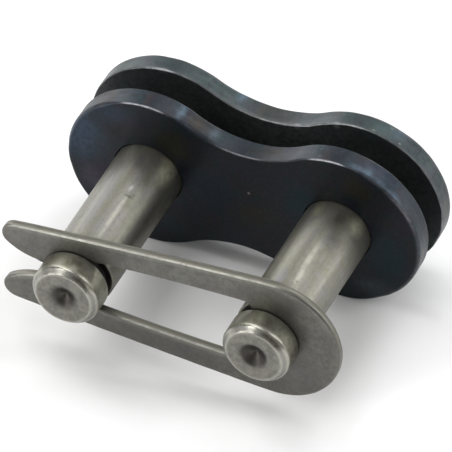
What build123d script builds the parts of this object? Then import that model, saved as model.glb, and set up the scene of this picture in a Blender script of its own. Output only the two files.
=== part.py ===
from build123d import *
import os
from math import sqrt, hypot, acos, sin, tan

# Spring-clip connecting link for a simple roller chain, 12.70 mm pitch.
# X runs along the chain from pin to pin, Y along the pins (towards -Y are the
# grooved ends and the clip), Z across the height of the side plates.
# The origin is halfway between the pin axes, on the chain's centre plane.

os.makedirs("parts", exist_ok=True)

# ---------------------------------------------------------------- dimensions
pitch = 12.70              # pin axis to pin axis
px = pitch / 2

# side plates
lobe_r = 5.50              # rounded end of a plate
waist_h = 3.80             # half height at the waist
plate_t = 1.50             # plate thickness
pin_plate_front = 5.75     # inner face of the plate that holds the pins
cover_front = 2.25         # outer face of the loose plate, where it sits now
cover_play = 0.040         # radial play of the pins in the loose plate

# pins
pin_r = 2.225
shoulder_y = -7.50         # where the groove starts
groove_w = 0.80            # groove width
neck_r = 1.70              # pin radius in the groove
head_y = -9.97             # end face of the grooved end
head_cham = 0.35           # 45 degree chamfer at that end
head_round = 0.09          # its two edges are slightly rounded
dimple_r = 0.925           # conical dimple in the end face
dimple_d = 0.62            # depth to the cone's point
dimple_flat = 0.08         # radius of the small flat at its bottom
dimple_lip_left = 0.42     # rounding of the dimple's mouth on each pin
dimple_lip_right = 0.20
rivet_r = 2.48             # upset end behind the pin plate
rivet_h = 0.70
rivet_round = 0.38

# spring clip
clip_t = 0.55
clip_front_round = 0.09
clip_back_round = 0.04
clip_back = -7.60          # face of the clip nearest the plates
end_cx, end_r = 6.80, 4.45         # closed end, outer arc
tip_cx, tip_cz, tip_r = -10.43, 2.12, 0.85   # tip of each leg
side_r = 400.0             # slight bow of the outer edge
seat_r = 1.74              # seats round the two necks
slot_w = 2.40              # half width of the slot at its widest
slot_side_r = 125.0        # slight bow of the inner edge
slot_end_x = 5.37          # blunt end of the slot
slot_end_round = 0.35
throat = 0.62              # half gap between the legs' noses
nose_x = -8.50             # where the gap is narrowest
nose_round = 0.18


# ------------------------------------------------------------------- helpers
def V(x, z, y=0.0):
    return Vector(x, y, z)


def arc3(a, m, b, y):
    """Arc from a through m to b, all (x, z), in the plane y."""
    return Edge.make_three_point_arc(V(*a, y), V(*m, y), V(*b, y))


def on(c, r, toward):
    """Point of the circle (c, r) in the direction of another point."""
    d = hypot(toward[0] - c[0], toward[1] - c[1])
    return (c[0] + r * (toward[0] - c[0]) / d, c[1] + r * (toward[1] - c[1]) / d)


def away(c, r, source):
    """Point of the circle (c, r) on the far side from another point."""
    d = hypot(c[0] - source[0], c[1] - source[1])
    return (c[0] + r * (c[0] - source[0]) / d, c[1] + r * (c[1] - source[1]) / d)


def inner_tangent_centre(c1, r1, c2, r2, big, below):
    """Centre of a circle of radius big that both circles touch from inside."""
    a, b = big - r1, big - r2
    dx, dz = c2[0] - c1[0], c2[1] - c1[1]
    d = hypot(dx, dz)
    t = (a * a - b * b + d * d) / (2 * d)
    h = sqrt(a * a - t * t)
    ux, uz = dx / d, dz / d
    pick = [(c1[0] + t * ux - s * h * uz, c1[1] + t * uz + s * h * ux) for s in (1, -1)]
    pick.sort(key=lambda q: q[1])
    return pick[0] if below else pick[1]


def mirror_z(q):
    return (q[0], -q[1])


def slab(edges, y0, y1):
    """Closed outline in the plane y0, thickened to y1."""
    face = Face(Wire(edges))
    return Solid.extrude(face, Vector(0, y1 - y0, 0))


def shift(shape, x):
    return shape.moved(Location((x, 0, 0)))


def turned(corners, x):
    """Turned piece: a closed (r, y, rounding) profile spun round a line along
    Y. The profile starts and ends on a straight run."""
    n = len(corners)
    cuts = []
    for i, (r, y, rad) in enumerate(corners):
        p0, p2 = corners[i - 1], corners[(i + 1) % n]
        c = Vector(r, y, 0)
        if not rad:
            cuts.append((c, None, c))
            continue
        u = (Vector(p0[0], p0[1], 0) - c).normalized()
        v = (Vector(p2[0], p2[1], 0) - c).normalized()
        half = acos(max(-1.0, min(1.0, u.dot(v)))) / 2
        back_off = rad / tan(half)
        mid = c + (u + v).normalized() * (rad / sin(half) - rad)
        cuts.append((c + u * back_off, mid, c + v * back_off))
    edges = []
    for i in range(n):
        a, m, b = cuts[i]
        if m is not None:
            edges.append(Edge.make_three_point_arc(a, m, b))
        nxt = cuts[(i + 1) % n][0]
        if (nxt - b).length > 1e-7:
            edges.append(Edge.make_line(b, nxt))
    face = Face(Wire(edges))
    return shift(Solid.revolve(face, 360, Axis((0, 0, 0), (0, 1, 0))), x)


# --------------------------------------------------------------- side plates
waist_r = (waist_h ** 2 + px ** 2 - lobe_r ** 2) / (2 * (lobe_r - waist_h))
waist_c = waist_h + waist_r


def side_plate(y_front, round_front, round_back, hole_r, hole_round):
    y_back = y_front + plate_t
    up, dn = (0.0, waist_c), (0.0, -waist_c)
    rc, lc = (px, 0.0), (-px, 0.0)
    ru, rd = on(rc, lobe_r, up), on(rc, lobe_r, dn)
    lu, ld = on(lc, lobe_r, up), on(lc, lobe_r, dn)
    edges = [
        arc3(rd, (px + lobe_r, 0), ru, y_front),
        arc3(ru, (0, waist_h), lu, y_front),
        arc3(lu, (-px - lobe_r, 0), ld, y_front),
        arc3(ld, (0, -waist_h), rd, y_front),
    ]
    body = slab(edges, y_front, y_back)
    rims = body.edges().filter_by(GeomType.CIRCLE)
    front = [e for e in rims if abs(e.center().Y - y_front) < 1e-6]
    back = [e for e in rims if abs(e.center().Y - y_back) < 1e-6]
    body = body.fillet(round_front, front)
    rims = body.edges().filter_by(GeomType.CIRCLE)
    back = [e for e in rims if abs(e.center().Y - y_back) < 1e-6 and e.radius > lobe_r - 0.01]
    body = body.fillet(round_back, back)
    for x in (-px, px):
        drill = Solid.make_cylinder(
            hole_r, plate_t + 2, Plane(origin=(x, y_front - 1, 0), z_dir=(0, 1, 0))
        )
        body = body - drill
    body = body.solids()[0]
    if hole_round:
        for y, rr in ((y_front, hole_round), (y_back, hole_round * 0.6)):
            rings = [
                e
                for e in body.edges().filter_by(GeomType.CIRCLE)
                if abs(e.center().Y - y) < 1e-6 and abs(e.radius - hole_r) < 1e-6
            ]
            body = body.fillet(rr, rings)
    return body


pin_plate = side_plate(pin_plate_front, 0.12, 0.40, pin_r, 0)
cover_plate = side_plate(cover_front, 0.14, 0.12, pin_r + cover_play, 0.15)


# ---------------------------------------------------------------------- pins
def pin(x, lip):
    back = pin_plate_front + plate_t
    top = back + rivet_h
    groove_end = shoulder_y - groove_w
    # the cone is cut short by a small flat
    bottom = head_y + dimple_d * (1 - dimple_flat / dimple_r)
    profile = [
        (pin_r, cover_front, 0),
        (pin_r, shoulder_y, 0.05),
        (neck_r, shoulder_y, 0.06),
        (neck_r, groove_end, 0.06),
        (pin_r, groove_end, 0.05),
        (pin_r, head_y + head_cham, head_round),
        (pin_r - head_cham, head_y, head_round),
        (dimple_r, head_y, lip),
        (dimple_flat, bottom, 0.12),
        (0, bottom, 0),
        (0, top, 0),
        (rivet_r, top, rivet_round),
        (rivet_r, back, 0),
        (pin_r, back, 0),
    ]
    return turned(profile, x)


pin_left = pin(-px, dimple_lip_left)
pin_right = pin(px, dimple_lip_right)


# --------------------------------------------------------------- spring clip
def clip():
    y1 = clip_back
    y0 = clip_back - clip_t
    end_c, tip_c = (end_cx, 0.0), (tip_cx, tip_cz)
    side_c = inner_tangent_centre(end_c, end_r, tip_c, tip_r, side_r, True)
    end_t = away(end_c, end_r, side_c)
    tip_t = away(tip_c, tip_r, side_c)
    mid = on(side_c, side_r, ((end_t[0] + tip_t[0]) / 2, (end_t[1] + tip_t[1]) / 2))

    # lead-in: an arc lowest at (nose_x, throat) that the tip circle touches
    # from inside
    dx = tip_cx - nose_x
    k = tip_cz - throat            # height of the tip centre over the nose
    # (k - R)^2 + dx^2 = (R - tip_r)^2
    lead_r = (dx * dx + k * k - tip_r ** 2) / (2 * (k - tip_r))
    lead_c = (nose_x, throat + lead_r)
    lead_t = away(tip_c, tip_r, lead_c)
    lead_m = on(lead_c, lead_r, ((lead_t[0] + nose_x) / 2, (lead_t[1] + throat) / 2))

    # nose: straight from (nose_x, throat) to the seat, corner rounded after
    seat1 = (-px, 0.0)
    corner = (-px - sqrt(seat_r ** 2 - throat ** 2), throat)
    # slot edge: a wide arc that the seat's circle touches from inside
    slot_cx = -px + sqrt((slot_side_r - seat_r) ** 2 - (slot_side_r - slot_w) ** 2)
    slot_c = (slot_cx, slot_w - slot_side_r)
    join = away(seat1, seat_r, slot_c)
    slot_z = slot_c[1] + sqrt(slot_side_r ** 2 - (slot_end_x - slot_cx) ** 2)
    slot_m = (
        (join[0] + slot_end_x) / 2,
        slot_c[1] + sqrt(slot_side_r ** 2 - ((join[0] + slot_end_x) / 2 - slot_cx) ** 2),
    )
    seat_m = on(seat1, seat_r, (-px - 1.2, seat_r * 0.85))
    # seat of the second pin, open to the slot
    dz = sqrt(seat_r ** 2 - (px - slot_end_x) ** 2)
    corner2 = (slot_end_x, dz)

    def upper():
        return [
            arc3(end_t, mid, tip_t, y0),
            arc3(tip_t, (tip_c[0] - tip_r, tip_c[1]), lead_t, y0),
            arc3(lead_t, lead_m, (nose_x, throat), y0),
            Edge.make_line(V(nose_x, throat, y0), V(*corner, y0)),
            arc3(corner, seat_m, join, y0),
            arc3(join, slot_m, (slot_end_x, slot_z), y0),
            Edge.make_line(V(slot_end_x, slot_z, y0), V(*corner2, y0)),
        ]

    top = upper()
    bottom = [
        arc3(mirror_z(end_t), mirror_z(mid), mirror_z(tip_t), y0),
        arc3(mirror_z(tip_t), (tip_c[0] - tip_r, -tip_c[1]), mirror_z(lead_t), y0),
        arc3(mirror_z(lead_t), mirror_z(lead_m), (nose_x, -throat), y0),
        Edge.make_line(V(nose_x, -throat, y0), V(*mirror_z(corner), y0)),
        arc3(mirror_z(corner), mirror_z(seat_m), mirror_z(join), y0),
        arc3(mirror_z(join), mirror_z(slot_m), (slot_end_x, -slot_z), y0),
        Edge.make_line(V(slot_end_x, -slot_z, y0), V(*mirror_z(corner2), y0)),
    ]
    closed = arc3(mirror_z(end_t), (end_cx + end_r, 0), end_t, y0)
    seat2 = arc3(corner2, (px + seat_r, 0), mirror_z(corner2), y0)
    body = slab(top + bottom + [closed, seat2], y0, y1)

    def uprights(x, z, tol=0.02):
        return [
            e
            for e in body.edges().filter_by(Axis.Y)
            if abs(e.center().X - x) < tol and abs(abs(e.center().Z) - z) < tol
        ]

    body = body.fillet(nose_round, uprights(corner[0], corner[1]))
    body = body.fillet(slot_end_round, uprights(slot_end_x, slot_z))
    body = body.fillet(0.12, uprights(slot_end_x, dz))
    face_edges = [e for e in body.edges() if abs(e.center().Y - y0) < 1e-6]
    body = body.fillet(clip_front_round, face_edges)
    face_edges = [e for e in body.edges() if abs(e.center().Y - y1) < 1e-6]
    body = body.fillet(clip_back_round, face_edges)
    return body


spring_clip = clip()

for name, shape in {
    "pin_plate": pin_plate,
    "cover_plate": cover_plate,
    "pin_left": pin_left,
    "pin_right": pin_right,
    "spring_clip": spring_clip,
}.items():
    export_step(shape, f"parts/{name}.step")
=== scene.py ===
import math

import bmesh
import bpy
import numpy as np
from mathutils import Matrix, Vector, noise
from mathutils.geometry import delaunay_2d_cdt


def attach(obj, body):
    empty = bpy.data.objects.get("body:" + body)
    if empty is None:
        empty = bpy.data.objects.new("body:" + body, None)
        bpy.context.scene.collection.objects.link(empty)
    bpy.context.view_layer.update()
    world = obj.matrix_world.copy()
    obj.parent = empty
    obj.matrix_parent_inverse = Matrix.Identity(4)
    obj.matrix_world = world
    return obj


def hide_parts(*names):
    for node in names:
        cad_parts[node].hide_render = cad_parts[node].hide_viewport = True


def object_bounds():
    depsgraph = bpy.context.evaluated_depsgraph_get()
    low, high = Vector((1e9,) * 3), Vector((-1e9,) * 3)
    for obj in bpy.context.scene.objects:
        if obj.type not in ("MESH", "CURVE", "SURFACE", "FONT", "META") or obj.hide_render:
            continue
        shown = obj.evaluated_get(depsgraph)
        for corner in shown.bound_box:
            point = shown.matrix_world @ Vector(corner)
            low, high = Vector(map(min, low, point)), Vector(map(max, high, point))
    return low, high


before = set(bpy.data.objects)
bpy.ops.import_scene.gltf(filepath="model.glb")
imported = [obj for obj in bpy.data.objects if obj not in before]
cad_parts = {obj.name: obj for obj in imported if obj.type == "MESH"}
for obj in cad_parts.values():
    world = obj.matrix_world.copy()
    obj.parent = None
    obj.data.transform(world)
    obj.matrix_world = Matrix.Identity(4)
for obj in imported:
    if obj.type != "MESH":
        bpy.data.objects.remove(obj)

cad_box = [list(v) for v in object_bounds()]

scene = bpy.context.scene
scene.view_settings.view_transform = "Standard"
scene.view_settings.look = "None"
scene.view_settings.exposure = 0.0
scene.view_settings.gamma = 1.0

MM = 0.001

# ------------------------------------------------------------------ camera
AZ, EL, ROLL = math.radians(25.794), math.radians(42.933), math.radians(-1.493)
DIST = 0.800
FOCAL_PX = 13122.75
back = Vector((math.sin(AZ) * math.cos(EL), -math.cos(AZ) * math.cos(EL), math.sin(EL)))
fwd = -back
right = fwd.cross(Vector((0, 0, 1))).normalized()
up = right.cross(fwd)
right2 = right * math.cos(ROLL) + up * math.sin(ROLL)
up2 = up * math.cos(ROLL) - right * math.sin(ROLL)
eye = back * DIST + right2 * (-0.063 * MM) + up2 * (-0.12 * MM) + Vector((0, 0.0455 * MM, 0))
cam_data = bpy.data.cameras.new("camera")
cam_data.sensor_fit = "HORIZONTAL"
cam_data.sensor_width = 36.0
cam_data.lens = FOCAL_PX / 452 * 36.0
cam_data.clip_start = 0.05
cam_data.clip_end = 20.0
camera = bpy.data.objects.new("camera", cam_data)
scene.collection.objects.link(camera)
camera.matrix_world = Matrix(
    (
        (right2.x, up2.x, back.x, eye.x),
        (right2.y, up2.y, back.y, eye.y),
        (right2.z, up2.z, back.z, eye.z),
        (0, 0, 0, 1),
    )
)
scene.camera = camera


# ------------------------------------------------------------ mesh helpers
def arc_points(cx, cz, r, a0, a1, side, step):
    """Points of an arc and the outward normals; side is 1 where the metal is
    inside the arc and -1 where it is outside."""
    n = max(2, int(round(abs(math.radians(a1 - a0)) * r / step)))
    a = np.radians(np.linspace(a0, a1, n, endpoint=False))
    u = np.stack([np.cos(a), np.sin(a)], 1)
    return np.array([cx, cz]) + r * u, side * u


def plate_outline(step):
    """Outline of a side plate, anticlockwise from the lower right, in mm."""
    waist_r = (WAIST_H**2 + PX**2 - LOBE_R**2) / (2 * (LOBE_R - WAIST_H))
    top = WAIST_H + waist_r
    t = math.degrees(math.atan2(top, -PX))
    parts = [
        arc_points(PX, 0, LOBE_R, -t, t, 1, step),
        arc_points(0, top, waist_r, t - 180, -t, -1, step),
        arc_points(-PX, 0, LOBE_R, 180 - t, 180 + t, 1, step),
        arc_points(0, -top, waist_r, t, 180 - t, -1, step),
    ]
    return np.concatenate([p for p, _ in parts]), np.concatenate([n for _, n in parts])


def arc_length(points):
    d = np.linalg.norm(np.roll(points, -1, 0) - points, axis=1)
    return np.concatenate([[0.0], np.cumsum(d)[:-1]]), d.sum()


def wobble(p, scale, seed, octaves=3):
    """Smooth noise, about -1 to 1, at points in mm."""
    out = np.empty(len(p))
    off = Vector((seed * 17.3, seed * -9.1, seed * 5.7))
    for i, q in enumerate(p):
        out[i] = noise.fractal(Vector(q) / scale + off, 1.0, 2.0, octaves, noise_basis="PERLIN_ORIGINAL")
    return out


def ramp(x, a, b):
    t = np.clip((x - a) / (b - a), 0, 1)
    return t * t * (3 - 2 * t)


def bump_at(p, centre, radius):
    """1 at the centre, falling smoothly to 0 at the radius."""
    d = np.linalg.norm(p - np.array(centre), axis=1) / radius
    return np.clip(1 - d * d, 0, 1) ** 2


def join_rings(rings, closed=False):
    """Quads between rings of equal length; each ring is closed on itself."""
    n = len(rings[0])
    faces = []
    last = len(rings) if closed else len(rings) - 1
    i = np.arange(n)
    j = (i + 1) % n
    for r in range(last):
        a, b = r * n, ((r + 1) % len(rings)) * n
        faces.append(np.stack([a + i, a + j, b + j, b + i], 1))
    return np.concatenate(rings), np.concatenate(faces)


def inside(points, loop):
    """Which 2-D points are inside a closed loop."""
    x, z = points[:, 0][:, None], points[:, 1][:, None]
    x0, z0 = loop[:, 0][None], loop[:, 1][None]
    x1, z1 = np.roll(loop[:, 0], -1)[None], np.roll(loop[:, 1], -1)[None]
    crosses = ((z0 > z) != (z1 > z)) & (x < (x1 - x0) * (z - z0) / np.where(z1 == z0, 1e-12, z1 - z0) + x0)
    return crosses.sum(1) % 2 == 1


def cap(loops, spacing):
    """Even triangles over the area inside the first 2-D loop and outside the
    others. Returns the added inner points and triangles; the loops' own points
    come first, in order."""
    edges, start = [], 0
    for lp in loops:
        k = len(lp)
        edges += [(start + i, start + (i + 1) % k) for i in range(k)]
        start += k
    border = np.concatenate(loops)
    low, high = loops[0].min(0), loops[0].max(0)
    xs = np.arange(low[0] + spacing / 2, high[0], spacing)
    zs = np.arange(low[1] + spacing / 2, high[1], spacing * 0.866)
    gx, gz = np.meshgrid(xs, zs)
    gx = gx + (np.arange(len(zs)) % 2)[:, None] * spacing / 2
    g = np.stack([gx.ravel(), gz.ravel()], 1)
    keep = inside(g, loops[0])
    for lp in loops[1:]:
        keep &= ~inside(g, lp)
    g = g[keep]
    near = np.min(np.linalg.norm(g[:, None] - border[None], axis=2), axis=1)
    g = g[near > spacing * 0.6]
    every = np.concatenate([border, g])
    out = delaunay_2d_cdt([Vector(q) for q in every], edges, [], 1, 1e-6)
    tri = []
    for f in out[2]:
        ids = [out[3][i][0] for i in f]
        c = every[ids].mean(0)[None]
        if inside(c, loops[0])[0] and not any(inside(c, lp)[0] for lp in loops[1:]):
            tri.append(ids)
    return g, np.array(tri)


def solid(name, verts, polys, marks):
    """A smooth-shaded mesh object, from mm. marks are named numbers, one for
    each vertex, that the materials read."""
    me = bpy.data.meshes.new(name)
    me.from_pydata((np.asarray(verts) * MM).tolist(), [], [list(map(int, p)) for p in polys])
    me.validate()
    bm = bmesh.new()
    bm.from_mesh(me)
    bmesh.ops.recalc_face_normals(bm, faces=bm.faces)
    bm.to_mesh(me)
    bm.free()
    me.polygons.foreach_set("use_smooth", [True] * len(me.polygons))
    for key, values in marks.items():
        layer = me.attributes.new(key, "FLOAT", "POINT")
        layer.data.foreach_set("value", np.clip(values, 0, 1).astype(np.float32))
    me.update()
    ob = bpy.data.objects.new(name, me)
    scene.collection.objects.link(ob)
    return ob


# ------------------------------------------------------------- side plates
PX, LOBE_R, WAIST_H, PLATE_T = 6.35, 5.50, 3.80, 1.50
PIN_R, COVER_PLAY = 2.225, 0.040


def fan(centre, r, n):
    a = np.linspace(0, 2 * math.pi, n, endpoint=False)
    return centre + r * np.stack([np.cos(a), np.sin(a)], 1)


def flat_ring(loop, y):
    return np.stack([loop[:, 0], np.broadcast_to(y, len(loop)), loop[:, 1]], 1)


def side_plate(name, y0, front, back, hole_r, hole_front, hole_back, seed, split, dents, front_wear_and_highlight, back_wear_and_highlight):
    """A punched plate. front and back give, for outline points, how far the
    rounding reaches in over the face and along the rim. split is the share of
    the rim, from the front, that the punch left smooth; the rest broke away.
    dents are (x, y, z, radius, depth) in mm, depth outwards if negative."""
    p, n = plate_outline(0.075)
    y1 = y0 + PLATE_T
    af, bf = front(p)
    ab, bb = back(p)
    s, total = arc_length(p)
    loop3 = np.stack([p[:, 0], np.full(len(p), y0), p[:, 1]], 1)
    soft = wobble(loop3, 2.6, seed, 2)
    fine = wobble(loop3, 0.45, seed + 3, 2)
    # the rim is never quite true
    rim_in = 0.012 * (1 + soft)
    edge = split + 0.10 * wobble(loop3, 1.7, seed + 5, 3)
    rings, rim_mark, rub_and_highlight_mark, torn_mark = [], [], [], []
    wf, wb = front_wear_and_highlight(p), back_wear_and_highlight(p)

    def ring(d, y, rim=0.0, rub_and_highlight=0.0, torn=0.0):
        q = p - n * np.broadcast_to(d, len(p))[:, None]
        rings.append(flat_ring(q, y))
        for store, value in ((rim_mark, rim), (rub_and_highlight_mark, rub_and_highlight), (torn_mark, torn)):
            store.append(np.broadcast_to(value, len(p)).astype(float))

    for e in (0.95, 0.60, 0.34, 0.16, 0.05):
        ring(af + rim_in + e, y0)
    t = np.radians(np.linspace(0, 90, 8))
    for a in t[:-1]:
        # rubbed bright where the corner sticks out most, which also carries the painted highlight laid on the upper
        # edges
        w = math.exp(-(((math.degrees(a) - 48) / 24) ** 2))
        ring(rim_in + af * (1 - math.sin(a)), y0 + bf * (1 - math.cos(a)), rim=ramp(a, 0.5, 1.3), rub_and_highlight=wf * w)
    rows = 17
    for k in range(rows + 1):
        u = k / rows
        y = y0 + bf + (PLATE_T - bf - bb) * u
        share = (y - y0) / PLATE_T
        torn = ramp(share, edge - 0.14, edge + 0.14)
        pts = flat_ring(p, y)
        grain = wobble(pts * np.array([1.0, 0.55, 1.0]), 0.20, seed + 9, 3)
        ring(rim_in + torn * (0.007 + 0.007 * (1 + grain)), y, rim=1.0, torn=torn)
    torn_in = 0.014
    for a in t[::-1][1:]:
        w = math.exp(-(((math.degrees(a) - 48) / 24) ** 2))
        ring(rim_in + torn_in + ab * (1 - math.sin(a)), y1 - bb * (1 - math.cos(a)), rim=ramp(a, 0.5, 1.3), rub_and_highlight=wb * w, torn=0.5)
    for e in (0.05, 0.16, 0.34, 0.60, 0.95):
        ring(rim_in + torn_in + ab + e, y1)

    n_holes = 132
    holes = []
    for cx in (-PX, PX):
        c = np.array([cx, 0.0])
        w = []
        for e in (0.30, 0.10):
            w.append(flat_ring(fan(c, hole_r + hole_front + e, n_holes), y0))
        for a in t:
            w.append(flat_ring(fan(c, hole_r + hole_front * (1 - math.sin(a)), n_holes), y0 + hole_front * (1 - math.cos(a))))
        for u in (0.25, 0.5, 0.75):
            w.append(flat_ring(fan(c, hole_r, n_holes), y0 + hole_front + (PLATE_T - hole_front - hole_back) * u))
        for a in t[::-1]:
            w.append(flat_ring(fan(c, hole_r + hole_back * (1 - math.sin(a)), n_holes), y1 - hole_back * (1 - math.cos(a))))
        for e in (0.10, 0.30):
            w.append(flat_ring(fan(c, hole_r + hole_back + e, n_holes), y1))
        holes.append(w)

    verts, faces = join_rings(rings)
    polys = [tuple(f) for f in faces]
    marks = {"rim": np.concatenate(rim_mark), "rub_and_highlight": np.concatenate(rub_and_highlight_mark), "torn": np.concatenate(torn_mark)}
    tops, bottoms = [(rings[0], 0)], [(rings[-1], (len(rings) - 1) * len(p))]
    base = len(verts)
    for w in holes:
        hv, hf = join_rings(w)
        polys += [tuple(f) for f in hf + base]
        tops.append((w[0], base))
        bottoms.append((w[-1], base + (len(w) - 1) * n_holes))
        verts = np.concatenate([verts, hv])
        base = len(verts)
    for group, y in ((tops, y0), (bottoms, y1)):
        loops = [g[0][:, [0, 2]] for g in group]
        inner, tri = cap(loops, 0.42)
        ids = np.concatenate([g[1] + np.arange(len(g[0])) for g in group] + [base + np.arange(len(inner))])
        polys += [tuple(ids[f]) for f in tri]
        verts = np.concatenate([verts, flat_ring(inner, y)])
        base = len(verts)

    # the faces are a little uneven, as rolled and tumbled strip is
    for x, y, z, r, depth in dents:
        k = bump_at(verts, (x, y, z), r)
        d = np.array([-x if abs(x) < PX else (PX if x > 0 else -PX) - x, 0.0, -z])
        if abs(y - y0) < 0.02:
            d = np.array([0.0, 1.0, 0.0])
        d = d / (np.linalg.norm(d) + 1e-9)
        verts = verts + d * (k * depth)[:, None]
    on_front = np.abs(verts[:, 1] - y0) < 1e-6
    on_back = np.abs(verts[:, 1] - y1) < 1e-6
    flat = on_front | on_back
    wave = 0.005 * (1 + wobble(verts[flat], 2.2, seed + 13, 2))
    verts[flat, 1] += np.where(on_front[flat], wave, -wave)
    for key in marks:
        marks[key] = np.concatenate([marks[key], np.zeros(len(verts) - len(marks[key]))])
    return solid(name, verts, polys, marks)


def stretch_of(x, x0, x1, fade):
    return ramp(x, x0 - fade, x0) * (1 - ramp(x, x1, x1 + fade))


def cover_front_wear_and_highlight(p):
    """How far the blacking is rubbed off the outer edge, plus painted highlight laid on stretches of the upper edge."""
    x, z = p[:, 0], p[:, 1]
    up = ramp(z, 1.0, 2.4)
    q = np.stack([x, 0 * x, z], 1)
    base = 0.03 + 0.09 * (1 + wobble(q, 0.7, 31, 2))
    # painted highlight: stretches of the upper edge made bright where the lamps catch it
    placed = 1.00 * stretch_of(x, -7.7, -5.5, 0.5) + 0.45 * stretch_of(x, -0.9, 0.8, 0.7)
    placed += 1.00 * stretch_of(x, 4.8, 6.6, 0.5) + 0.40 * stretch_of(x, 10.4, 11.1, 0.5)
    worn_off = 1 - 0.9 * stretch_of(x, -4.6, -1.9, 0.4) * up
    return (base + placed * up) * worn_off


def cover_back_wear_and_highlight(p):
    x, z = p[:, 0], p[:, 1]
    q = np.stack([x, 0 * x, z], 1)
    base = 0.12 + 0.18 * (1 + wobble(q, 0.9, 33, 2))
    # painted highlight on stretches of the upper back edge
    placed = 0.6 * stretch_of(x, 8.0, 9.6, 0.6) + 0.4 * stretch_of(x, -4.7, -3.7, 0.4)
    return base + placed * (z > 0)


def pin_plate_front_wear_and_highlight(p):
    x, z = p[:, 0], p[:, 1]
    q = np.stack([x, 0 * x, z], 1)
    base = 0.16 + 0.34 * (1 + wobble(q, 0.55, 35, 2))
    # painted highlight on stretches of the upper front edge
    return base + 0.35 * (stretch_of(x, -7.6, -6.4, 0.4) + stretch_of(x, 2.6, 5.9, 0.6)) * (z > 0)


def pin_plate_back_wear(p):
    q = np.stack([p[:, 0], 0 * p[:, 0], p[:, 1]], 1)
    return 0.10 + 0.12 * (1 + wobble(q, 0.7, 37, 2))


def cover_front_edge(p):
    x, z = p[:, 0], p[:, 1]
    rub_and_highlight = ramp(x, -4.7, -3.9) * (1 - ramp(x, -2.2, -1.5)) * (z > 0)
    left = ramp(-x, 7.8, 9.6)
    right = ramp(x, 7.4, 9.2)
    a = 0.11 + 0.10 * rub_and_highlight + 0.14 * left + 0.16 * right
    b = 0.12 + 0.26 * rub_and_highlight + 0.18 * left + 0.14 * right
    q = np.stack([x, 0 * x, z], 1)
    k = 1 + 0.25 * wobble(q, 1.3, 2, 2)
    return a * k, b * k


def cover_back_edge(p):
    q = np.stack([p[:, 0], 0 * p[:, 0], p[:, 1]], 1)
    k = 0.10 * (1 + 0.35 * wobble(q, 1.6, 6, 2))
    return k, k


def pin_plate_front_edge(p):
    q = np.stack([p[:, 0], 0 * p[:, 0], p[:, 1]], 1)
    k = 0.10 * (1 + 0.45 * wobble(q, 1.1, 11, 2))
    return k, k * 1.1


def pin_plate_back_edge(p):
    x, z = p[:, 0], p[:, 1]
    q = np.stack([x, 0 * x, z], 1)
    waist = 1 - ramp(np.abs(x), 1.5, 4.5)
    k = (0.42 - 0.16 * waist) * (1 + 0.12 * wobble(q, 1.9, 15, 2))
    return k, k


# -------------------------------------------------------------------- pins
HEAD_Y, BACK_Y = -9.97, 7.25


def turned_profile(lip):
    """Dense (r, y) points of a pin's profile, from the middle of the dimple
    to the middle of the riveted end."""
    cham, groove0, groove1, neck = 0.35, -8.21, -7.50, 1.70
    dimple_r, dimple_d, dimple_flat = 0.925, 0.62, 0.08
    bottom = HEAD_Y + dimple_d * (1 - dimple_flat / dimple_r)
    top = BACK_Y + 0.70
    corners = [
        (0, bottom, 0, 0.05),
        (dimple_flat, bottom, 0.12, 0.05),
        (dimple_r, HEAD_Y, lip, 0.06),
        (PIN_R - cham, HEAD_Y, 0.13, 0.06),
        (PIN_R, HEAD_Y + cham, 0.24, 0.05),
        (PIN_R, groove0, 0.06, 0.10),
        (neck, groove0, 0.07, 0.10),
        (neck, groove1, 0.07, 0.10),
        (PIN_R, groove1, 0.06, 0.10),
        (PIN_R, BACK_Y, 0, 0.115),
        (2.48, BACK_Y, 0, 0.10),
        (2.48, top, 0.38, 0.10),
        (0, top, 0, 0.16),
    ]
    pts = []
    for i, (r, y, rad, step) in enumerate(corners):
        c = np.array([r, y], float)
        if rad and 0 < i < len(corners) - 1:
            u = np.array(corners[i - 1][:2]) - c
            v = np.array(corners[i + 1][:2]) - c
            u, v = u / np.linalg.norm(u), v / np.linalg.norm(v)
            half = math.acos(max(-1, min(1, float(u @ v)))) / 2
            off = rad / math.tan(half)
            a, b = c + u * off, c + v * off
            centre = c + (u + v) / np.linalg.norm(u + v) * rad / math.sin(half)
            k = 7 if rad > 0.1 else 5
            a0 = math.atan2(*(a - centre)[::-1])
            a1 = math.atan2(*(b - centre)[::-1])
            turn = (a1 - a0 + math.pi) % (2 * math.pi) - math.pi
            cut = [centre + rad * np.array([math.cos(a0 + turn * t), math.sin(a0 + turn * t)]) for t in np.linspace(0, 1, k)]
        else:
            cut = [c]
        if pts:
            gap = np.linalg.norm(cut[0] - pts[-1])
            n = max(1, int(round(gap / step)))
            last = pts[-1]
            pts += [last + (cut[0] - last) * t for t in np.linspace(0, 1, n, endpoint=False)[1:]]
        pts += cut
    return np.array(pts)


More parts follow.
